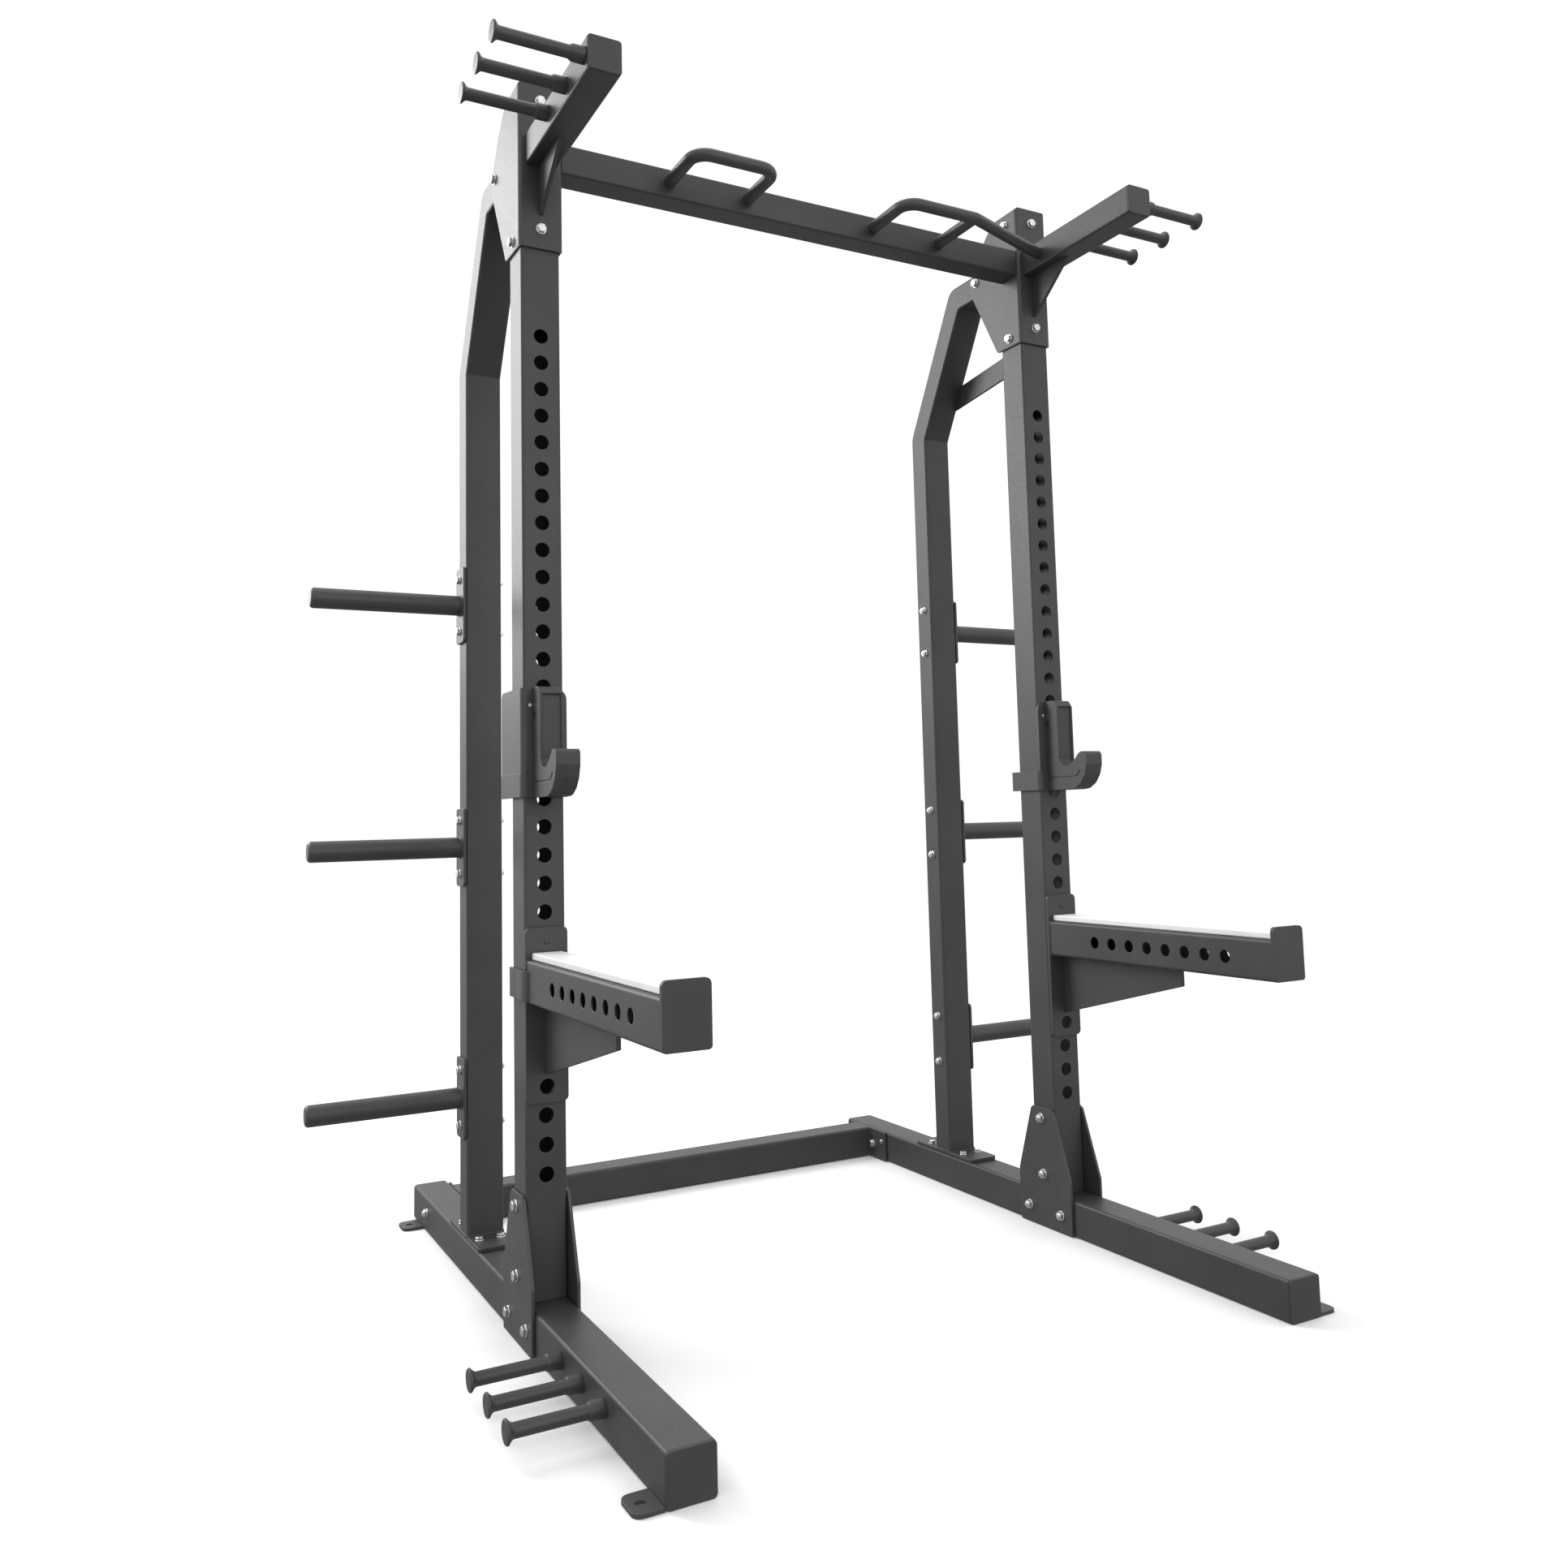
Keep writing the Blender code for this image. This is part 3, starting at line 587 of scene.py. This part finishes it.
def rear_leg(label, cx, yz, welds):
    """Rear leg with its two bends and the bolted base plate, and the brace on the right one."""
    low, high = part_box(label + "_rear_leg")
    back = LEG_FRONT + LEG_DEPTH
    back_bend = LEG_BEND + LEG_DEPTH * math.tan(math.radians(15.0))
    under = high.z - LEG_DEPTH
    plate_top = low.z + 8 * MM
    start = TUBE + GAP
    points = [
        (LEG_FRONT, plate_top), (back, plate_top), (back, back_bend),
        (back - (high.z - back_bend) * LEG_TILT, high.z), (start, high.z), (start, under),
        (LEG_FRONT - (under - LEG_BEND) * LEG_TILT, under), (LEG_FRONT, LEG_BEND),
    ]
    radii = [0, 0, 50 * MM, 34 * MM, 0, 0, 8 * MM, 14 * MM]
    outline = fillet(yz(points), radii, 8)
    ends = [
        lambda co: co.z < plate_top + 1e-5,
        lambda co: co.y < FRONT + start + 1e-5,
    ]
    leg = bent_tube("leg", outline, low.x, high.x, CORNER, ends)
    plate_y = FRONT + LEG_FRONT + LEG_DEPTH / 2.0
    plate = beam("plate", "Z", (cx, plate_y), low.z, plate_top, TUBE, 0.235, 9 * MM)
    settle(polish(plate, 1.0 * MM))
    leg = merge(label + "_rear_leg_tube", leg, plate)
    fit(polish(leg, 0.7 * MM), "frame", "frame", label + "_rear_leg")
    joint = shifted(section(TUBE, LEG_DEPTH, CORNER, 3), cx, plate_y)
    add_weld(welds, [(x, y, plate_top) for x, y in joint], 2.2 * MM)
    fasteners = [((cx + x, FRONT + y, plate_top), (0, 0, 1), 0.85, False) for x, y in LEG_BOLTS]
    bolts(label + "_leg_bolts", "frame", fasteners)

    # brace: a flat bar on edge, its ends cut to the upright and to the leg's sloping face
    if label == "left":
        return
    a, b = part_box(label + "_brace")
    depth = 53 * MM
    drop = 0.095
    view = [(start, b.z - depth), (start, b.z)]
    for rise in (0.0, depth):
        z = (b.z - rise - drop * (LEG_FRONT + LEG_BEND * LEG_TILT - start)) / (1.0 - drop * LEG_TILT)
        view.append((LEG_FRONT - (z - LEG_BEND) * LEG_TILT + 0.5 * MM, z))
    brace = slab(label + "_brace_bar", yz(view), "X", a.x, b.x)
    fit(polish(brace, 1.2 * MM), "frame", "frame", label + "_brace")


def top(label, cx, yz, at, s):
    """Top bracket, outrigger with its end plate and gusset."""
    low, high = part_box(label + "_top_bracket")
    thick = 5 * MM
    wide = (high.x - low.x) / 2.0
    rear = 0.30
    plan = [
        (-wide, rear), (-wide, -GAP - thick), (wide, -GAP - thick), (wide, rear),
        (wide - thick, rear), (wide - thick, -GAP), (-wide + thick, -GAP), (-wide + thick, rear),
    ]
    plan = fillet(plan, [0, 8 * MM, 8 * MM, 0, 0, 3 * MM, 3 * MM, 0])
    plan = shifted(plan, cx, FRONT)
    bracket = slab(label + "_top_bracket_shell", plan, "Z", low.z - PAST, high.z + PAST)
    view = [
        (-0.05, low.z), (0.083, low.z + 4 * MM), (0.183, 2.172), (0.172, 2.200), (0.130, 2.258),
        (0.105, 2.282), (TUBE, high.z), (-0.05, high.z),
    ]
    view = fillet(yz(view), [0, 8 * MM, 10 * MM, 8 * MM, 8 * MM, 8 * MM, 10 * MM, 0])
    carve(bracket, slab("view", view, "X", low.x - PAST, high.x + PAST), "INTERSECT")
    face = shifted(fillet(rectangle(-wide - CLEAR, low.z, wide + CLEAR, high.z), 7 * MM), cx, 0.0)
    carve(bracket, slab("face", face, "Y", FRONT - 0.05, FRONT + 0.4), "INTERSECT")
    fit(polish(bracket, 0.8 * MM), "frame", "plate", label + "_top_bracket")

    a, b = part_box(label + "_outrigger")
    size = 0.060
    centre_z = b.z - size / 2.0
    arm = beam("arm", "Y", (cx, centre_z), a.y, b.y, size, size, 5 * MM)
    root = b.y - FRONT
    web = yz([(root, 2.045), (root, 2.143), (-0.128, 2.143), (-0.122, 2.137)])
    gusset = slab("web", fillet(web, [2 * MM, 0, 0, 0]), "X", cx - 4 * MM, cx + 4 * MM)
    arm = merge(label + "_outrigger_tube", arm, gusset)
    fit(polish(arm, 0.7 * MM), "frame", "frame", label + "_outrigger")
    a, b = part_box(label + "_outrigger_cap")
    cap = beam(label + "_outrigger_plate", "Y", (cx, centre_z), a.y, b.y, size, size, 6 * MM)
    fit(polish(cap, 1.1 * MM), "frame", "frame", label + "_outrigger_cap")

    fasteners = []
    for facing in (1, -1):
        for y, z in BRACKET_BOLTS:
            fasteners.append(((at(facing * wide), FRONT + y, z), (facing * s, 0, 0), 1.0, False))
    for z in (2.020, 2.272):
        fasteners.append(((cx, FRONT - GAP - thick, z), (0, -1, 0), 1.0, False))
    bolts(label + "_bracket_bolts", "frame", fasteners)


def pegs(label, at, s, welds):
    """Band pegs and plate storage pegs."""
    for row in ("upper", "base"):
        for number in (1, 2, 3):
            node = "%s_%s_peg_%d" % (label, row, number)
            low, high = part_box(node)
            length = high.x - low.x
            disc = (high.z - low.z) / 2.0
            shaft = 11 * MM
            flare = [(shaft, length - 13 * MM)]
            for k in range(1, 6):
                t = k / 5.0
                flare.append((shaft + (disc - shaft) * t ** 1.8, length - 13 * MM + 9 * MM * t))
            collar = [(0, 0), (14.5, 0), (14.2, 20), (13, 23)]
            profile = [(r * MM, x * MM) for r, x in collar] + [(shaft, 26 * MM)]
            profile += flare
            profile += [(disc, length - 1.6 * MM), (disc - 1.4 * MM, length - 0.3 * MM)]
            profile += [(disc * 0.5, length), (0, length)]
            start = low.x if s > 0 else high.x
            where = (start, (low.y + high.y) / 2.0, (low.z + high.z) / 2.0)
            peg = turned(node + "_bar", where, (s, 0, 0), profile, 48)
            fit(polish(peg, 0.3 * MM), "frame", "peg", node)

    fasteners = []
    for number in (1, 2, 3):
        node = "%s_storage_peg_%d" % (label, number)
        low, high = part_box(node)
        z = (low.z + high.z) / 2.0
        y = (low.y + high.y) / 2.0
        start = low.x if s > 0 else high.x
        end = high.x if s > 0 else low.x
        face = start + s * PLATE
        plate = beam("plate", "X", (y, z), start, face, high.y - low.y, high.z - low.z, 9 * MM)
        settle(polish(plate, 1.0 * MM))
        length = abs(end - start)
        radius = 21 * MM
        edge = 7 * MM
        nose = []
        for k in range(7):
            angle = math.radians(90.0 * k / 6.0)
            along = length - edge + edge * math.sin(angle)
            nose.append((radius - edge + edge * math.cos(angle), along))
        profile = [(0, 4 * MM), (radius, 4 * MM)] + nose + [(0, length)]
        tube = turned("tube", (start, y, z), (s, 0, 0), profile, 56)
        peg = merge(node + "_bar", plate, tube)
        fit(polish(peg, 0.3 * MM), "frame", "peg", node)
        add_weld(welds, [(face, y + u, z + v) for u, v in circle(radius, 24)], 2.4 * MM)
        for rise in (-0.055, 0.055):
            fasteners.append(((face, y, z + rise), (s, 0, 0), 0.9, False))
            fasteners.append(((at(-HALF), y, z + rise), (-s, 0, 0), 0.9, True))
    bolts(label + "_storage_bolts", "frame", fasteners)


def cup(label, cx, yz, s):
    """Hook cup: folded steel bracket and moulded pad."""
    body = label + "_cup"
    low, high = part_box(label + "_cup_bracket")
    thick = PLATE
    reach = HALF + GAP + thick
    cheek = 0.120
    z0 = low.z
    z1 = high.z
    inner = reach - 2 * MM
    # front plate folded into the tall outer cheek, its inner top corner well rounded
    plan = [
        (-inner, -GAP - thick), (reach, -GAP - thick), (reach, cheek), (reach - thick, cheek),
        (reach - thick, -GAP), (-inner, -GAP),
    ]
    plan = fillet([(s * x, y) for x, y in plan], [0, 9 * MM, 0, 0, 3 * MM, 0])
    fold = slab("fold", shifted(plan, cx, FRONT), "Z", z0, z1)
    view = fillet(yz(rectangle(-0.05, z0, cheek, z1)), [0, 12 * MM, 12 * MM, 0])
    carve(fold, slab("view", view, "X", cx - 0.1, cx + 0.1), "INTERSECT")
    face = rectangle(-inner - CLEAR, z0 - PAST, 0.1, z1 + CLEAR)
    face = fillet([(s * x, z) for x, z in face], [0, 0, 0, 21 * MM], 8)
    carve(fold, slab("face", shifted(face, cx, 0.0), "Y", FRONT - 0.05, FRONT + 0.3), "INTERSECT")
    settle(polish(fold, 0.9 * MM))
    # low band round the front plate and both sides of the upright
    wide = reach + 1.2 * MM
    ahead = GAP + thick + 1.2 * MM
    strap = [
        (-wide, 0.090), (-wide, -ahead), (wide, -ahead), (wide, 0.1205), (wide - thick, 0.1205),
        (wide - thick, -GAP), (-wide + thick, -GAP), (-wide + thick, 0.090),
    ]
    strap = fillet([(s * x, y) for x, y in strap], [0, 10 * MM, 10 * MM, 0, 0, 4 * MM, 4 * MM, 0])
    strap = slab("strap", shifted(strap, cx, FRONT), "Z", z0 - 1 * MM, z0 + 42 * MM)
    pin_z = FIRST_HOLE + CUP_PIN * PITCH
    tip = 46 * MM
    pin = [(0, 0), (12 * MM, 0), (12 * MM, tip - 2 * MM), (10 * MM, tip), (0, tip)]
    pin = turned("pin", (cx, FRONT - 2 * MM, pin_z), (0, 1, 0), pin, 40)
    bracket = merge(label + "_cup_fold", fold, strap, pin)
    fit(polish(bracket, 1.0 * MM), body, "plate", label + "_cup_bracket")
    screws = []
    for x in (cx - 0.0265, cx + 0.0265):
        screws.append(((x, FRONT - GAP - thick, 1.118), (0, -1, 0), 0.35, False))
    bolts(label + "_cup_screws", body, screws)

    a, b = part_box(label + "_cup_pad")
    back = b.y - FRONT
    top_z = b.z
    hook = yz([
        (back, a.z), (back, top_z), (-0.036, top_z), (-0.047, top_z - 0.014), (-0.047, 1.020),
        (-0.053, 1.008), (-0.068, 1.002), (-0.082, 1.006), (-0.097, 1.015), (-0.110, 1.028),
        (-0.118, 1.032), (-0.130, 1.032), (-0.136, 1.026), (-0.136, 1.004), (-0.129, 0.982),
        (-0.115, 0.964), (-0.095, 0.953), (-0.078, a.z),
    ])
    radii = [2, 2, 9, 9, 9, 9, 9, 12, 12, 8, 6, 5, 8, 16, 16, 16, 16, 12]
    hook = fillet(hook, [r * MM for r in radii], 5)
    pad = slab(label + "_cup_hook", hook, "X", a.x, b.x)
    channel = yz([
        (-0.070, top_z - 0.013), (-0.0435, top_z - 0.013), (-0.0435, 1.0180), (-0.0505, 1.0045),
        (-0.068, 0.9980), (-0.0840, 1.0025), (-0.1000, 1.0120), (-0.1080, 1.0200),
        (-0.1080, 1.060), (-0.070, 1.060),
    ])
    channel = fillet(channel, [r * MM for r in (0, 6, 8, 8, 10, 10, 8, 2, 0, 0)], 4)
    rim = 4.5 * MM
    carve(pad, slab("channel", channel, "X", a.x + rim, b.x - rim))
    groove = yz([
        (-0.018, 0.9770), (-0.103, 0.9770), (-0.1160, 0.9905),
        (-0.1138, 0.9930), (-0.1015, 0.9800), (-0.018, 0.9800),
    ])
    notch = yz([(0.0, 1.092), (-0.018, 1.092), (-0.018, 1.104), (0.0, 1.104)])
    for cut_outline, depth in ((groove, 1.5 * MM), (notch, 4 * MM)):
        for x, way in ((a.x, 1), (b.x, -1)):
            carve(pad, slab("cut", cut_outline, "X", x - way * MM, x + way * depth))
    fit(polish(pad, 1.3 * MM, 50.0, 3), body, "pad", label + "_cup_pad")


def spotter(label, cx, yz, s):
    """Spotter arm: mounting plate with pins and side ear, tube, web, stop plate and strip."""
    body = label + "_spotter"
    low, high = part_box(label + "_spotter_arm")
    plate_front = FRONT - GAP - 8 * MM
    arm_z = ARM_UNDERSIDE + HALF
    tube_front = low.y + 8 * MM
    middle = (cx, (low.z + high.z) / 2.0)
    plate = beam("plate", "Y", middle, plate_front, FRONT - GAP, 0.078, high.z - low.z, 10 * MM)
    low_hole = [(cx, FRONT, FIRST_HOLE + OPEN_HOLE * PITCH)]
    carve(plate, drills("hole", low_hole, (0, 1, 0), HOLE_D, 0.05))
    settle(polish(plate, 1.0 * MM))
    tube = beam("tube", "Y", (cx, arm_z), tube_front - 1 * MM, plate_front + 1 * MM, TUBE, TUBE)
    carve(tube, tube_bore("Y", (cx, arm_z), tube_front + 1 * MM, plate_front - 1 * MM))
    centres = [(cx, FRONT - ARM_FIRST_HOLE - i * PITCH, arm_z) for i in range(ARM_HOLES)]
    carve(tube, drills("holes", centres, (1, 0, 0), ARM_HOLE_D, 0.12))
    settle(polish(tube, 0.6 * MM))
    bottom = arm_z - HALF
    seam = bottom + 1 * MM
    web = yz([(-8 * MM, 0.463), (-8 * MM, seam), (-0.362, seam), (-0.362, 0.554)])
    web = slab("web", fillet(web, [3 * MM, 0, 0, 3 * MM]), "X", cx - 4 * MM, cx + 4 * MM)
    stop = rectangle(-HALF, bottom, HALF, STOP_TOP)
    stop = fillet(stop, [CORNER, CORNER, 9 * MM, 9 * MM])
    stop = slab("stop", shifted(stop, cx, 0.0), "Y", low.y, tube_front)
    pieces = [plate, tube, web, stop]
    pin = [(0, 1.4), (2.5, 1.5), (4.6, 2.4), (5.5, 4.2), (5.5, 6), (12, 6)]
    pin += [(12, 53.3), (9, 56.3), (0, 56.3)]
    pin = [(r * MM, y * MM) for r, y in pin]
    for n in ARM_PINS:
        where = (cx, plate_front - 4 * MM, FIRST_HOLE + n * PITCH)
        pieces.append(turned("pin", where, (0, 1, 0), pin, 40))
    ear = [
        (0.0378, 0.075), (0.0378, 0.030), (0.0400, 0.010), (0.0405, -0.004), (0.0395, -0.011),
        (0.0368, -0.016), (0.0368, -0.026), (0.0415, -0.022), (0.0450, -0.014), (0.0460, -0.004),
        (0.0455, 0.012), (0.0436, 0.030), (0.0436, 0.075),
    ]
    ear = fillet([(s * x, y) for x, y in ear], [0, *[8 * MM] * 4, 0, 0, *[9 * MM] * 5, 0], 4)
    pieces.append(slab("ear", shifted(ear, cx, FRONT), "Z", 0.594, 0.646))
    arm = merge(label + "_spotter_beam", *pieces)
    fit(polish(arm, 0.7 * MM), body, "frame", label + "_spotter_arm")

    bead = bmesh.new()
    joint = shifted(section(TUBE, TUBE, CORNER, 3), cx, arm_z)
    add_weld(bead, [(x, plate_front, z) for x, z in joint], 2.2 * MM)
    fit(smooth(build(label + "_spotter_weld", bead)), body, "frame")

    a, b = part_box(label + "_arm_strip")
    middle = ((a.x + b.x) / 2.0, (a.z + b.z) / 2.0)
    strip = beam(label + "_wear_strip", "Y", middle, a.y, b.y, b.x - a.x, b.z - a.z, 2.5 * MM)
    fit(polish(strip, 1.0 * MM), body, "strip", label + "_arm_strip")


# ---------------------------------------------------------------- parts shared by both sides
def crossmember():
    """Rear floor tube with a bolted flange at each end."""
    low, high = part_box("rear_crossmember")
    y0 = FRONT + 0.765
    tube = beam("tube", "X", (y0 + HALF, HALF), low.x + PLATE, high.x - PLATE, TUBE, TUBE)
    pieces = [tube]
    welds = bmesh.new()
    fasteners = []
    for s in (-1, 1):
        outer = high.x if s > 0 else low.x
        middle = ((low.y + high.y) / 2.0, HALF)
        inner = outer - s * PLATE
        flange = beam("flange", "X", middle, outer, inner, high.y - low.y, TUBE - 1 * MM, 4 * MM)
        pieces.append(settle(polish(flange, 0.9 * MM)))
        joint = shifted(section(TUBE - 2 * MM, TUBE - 4 * MM, CORNER, 3), y0 + HALF, HALF)
        add_weld(welds, [(inner, y, z) for y, z in joint], 2.0 * MM)
        fasteners.append(((inner, FRONT + 0.750, 0.036), (-s, 0, 0), 0.95, False))
        fasteners.append(((inner, FRONT + 0.706, 0.049), (-s, 0, 0), 0.55, False))
        fasteners.append(((inner, FRONT + 0.853, 0.036), (-s, 0, 0), 0.7, False))
        outside = s * (abs(outer) + TUBE + GAP)
        fasteners.append(((outside, FRONT + 0.753, 0.044), (s, 0, 0), 0.95, True))
    fit(polish(merge("crossmember_tube", *pieces), 0.7 * MM), "frame", "frame", "rear_crossmember")
    fit(smooth(build("crossmember_welds", welds)), "frame", "frame")
    bolts("crossmember_bolts", "frame", fasteners)


def crossbar_and_handles():
    """Pull-up bar between the uprights with its two bent handles."""
    low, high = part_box("crossbar")
    z = (low.z + high.z) / 2.0
    y = (low.y + high.y) / 2.0
    pipe = beam("crossbar_tube", "X", (y, z), low.x, high.x, high.y - low.y, high.z - low.z, 5 * MM)
    fit(polish(pipe), "frame", "frame", "crossbar")
    inner = 0.1515
    outer = 0.3245
    reach = 0.134
    bend = 34 * MM
    grip = 25 * MM
    root = FRONT - GAP
    away = FRONT - reach
    path = [(-outer, root, z), (-outer, away, z), (-inner, away, z), (-inner, root, z)]
    left = bar("left_handle_bar", bends(path, bend), grip)
    fit(polish(left, 0.4 * MM, 60.0), "frame", "peg", "left_handle")
    away = FRONT - (reach + 6 * MM)
    far = (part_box("right_upright")[0].x + HALF + 10 * MM, FRONT - 0.0465, z)
    path = [(inner, root, z), (inner, away, z), (outer + 2 * MM, away, z), far]
    grab = bar("grab", bends(path, bend), grip)
    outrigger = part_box("right_outrigger")[0].x - GAP
    trim = beam("trim", "X", (FRONT - 0.05, z), outrigger, outrigger + 0.2, 0.3, 0.2, 1 * MM)
    carve(grab, trim)
    post = bar("post", [(outer, root, z), (outer, away + 2 * MM, z)], grip)
    right = merge("right_handle_bar", grab, post)
    fit(polish(right, 0.4 * MM, 60.0), "frame", "peg", "right_handle")
    welds = bmesh.new()
    for x in (-outer, -inner, inner, outer):
        add_weld(welds, [(x + u, root, z + v) for u, v in circle(grip / 2, 24)], 2.0 * MM)
    fit(smooth(build("handle_welds", welds)), "frame", "peg")


side("left", -1)
side("right", 1)
crossmember()
crossbar_and_handles()


# ---------------------------------------------------------------- studio
def softbox(name, where, target, width, height, power):
    """Rectangular area light that the camera does not see."""
    light = bpy.data.lights.new(name, "AREA")
    light.shape = "RECTANGLE"
    light.size = width
    light.size_y = height
    light.energy = power
    obj = bpy.data.objects.new(name, light)
    bpy.context.scene.collection.objects.link(obj)
    obj.location = where
    obj.rotation_euler = (Vector(target) - Vector(where)).to_track_quat("-Z", "Y").to_euler()
    obj.visible_camera = False


def studio():
    """White surroundings, darker below the horizon, a pale floor and three softboxes."""
    bpy.context.scene.view_settings.view_transform = "Standard"
    world = bpy.data.worlds.new("studio")
    world.use_nodes = True
    background = world.node_tree.nodes["Background"]
    background.inputs["Color"].default_value = (1.0, 1.0, 1.0, 1.0)
    tree = world.node_tree
    coords = tree.nodes.new("ShaderNodeTexCoord")
    split = tree.nodes.new("ShaderNodeSeparateXYZ")
    fade = tree.nodes.new("ShaderNodeMapRange")
    fade.inputs["From Min"].default_value = -0.25
    fade.inputs["From Max"].default_value = -0.01
    fade.inputs["To Min"].default_value = 0.36
    fade.inputs["To Max"].default_value = 1.07
    tree.links.new(coords.outputs["Generated"], split.inputs["Vector"])
    tree.links.new(split.outputs["Z"], fade.inputs["Value"])
    tree.links.new(fade.outputs["Result"], background.inputs["Strength"])
    bpy.context.scene.world = world

    bm = bmesh.new()
    bmesh.ops.create_grid(bm, x_segments=4, y_segments=4, size=150.0)
    floor = build("floor", bm)
    floor.location.z = -0.5 * MM
    floor.data.materials.append(pale_floor("pale_floor"))
    floor.visible_diffuse = False
    floor.visible_glossy = False

    softbox("back_left_softbox", (-2.2, 2.6, 2.8), (0.0, 0.0, 1.6), 1.8, 2.4, 95.0)
    softbox("overhead_softbox", (0.2, 0.3, 4.6), (0.0, 0.2, 0.0), 2.5, 2.5, 15.0)
    softbox("front_softbox", (1.0, -5.2, 2.2), (-0.3, 0.0, 1.4), 2.4, 1.8, 24.0)


def camera():
    """About 0.9 m above the floor, to the front left, looking slightly up."""
    yaw = 0.496969
    pitch = 0.094594
    roll = -0.025035
    level_part = math.cos(pitch)
    ahead = Vector((math.sin(yaw) * level_part, math.cos(yaw) * level_part, math.sin(pitch)))
    level = Vector((math.cos(yaw), -math.sin(yaw), 0.0))
    upward = level.cross(ahead)
    right = level * math.cos(roll) + upward * math.sin(roll)
    up = upward * math.cos(roll) - level * math.sin(roll)
    data = bpy.data.cameras.new("camera")
    data.sensor_width = 36.0
    data.lens = 29.64
    data.shift_x = -0.00284
    data.shift_y = -0.05509
    data.clip_end = 200.0
    obj = bpy.data.objects.new("camera", data)
    bpy.context.scene.collection.objects.link(obj)
    matrix = Matrix((right, up, -ahead)).transposed().to_4x4()
    matrix.translation = Vector((-1.31431, -2.40191, 0.89952))
    obj.matrix_world = matrix
    bpy.context.scene.camera = obj


studio()
camera()
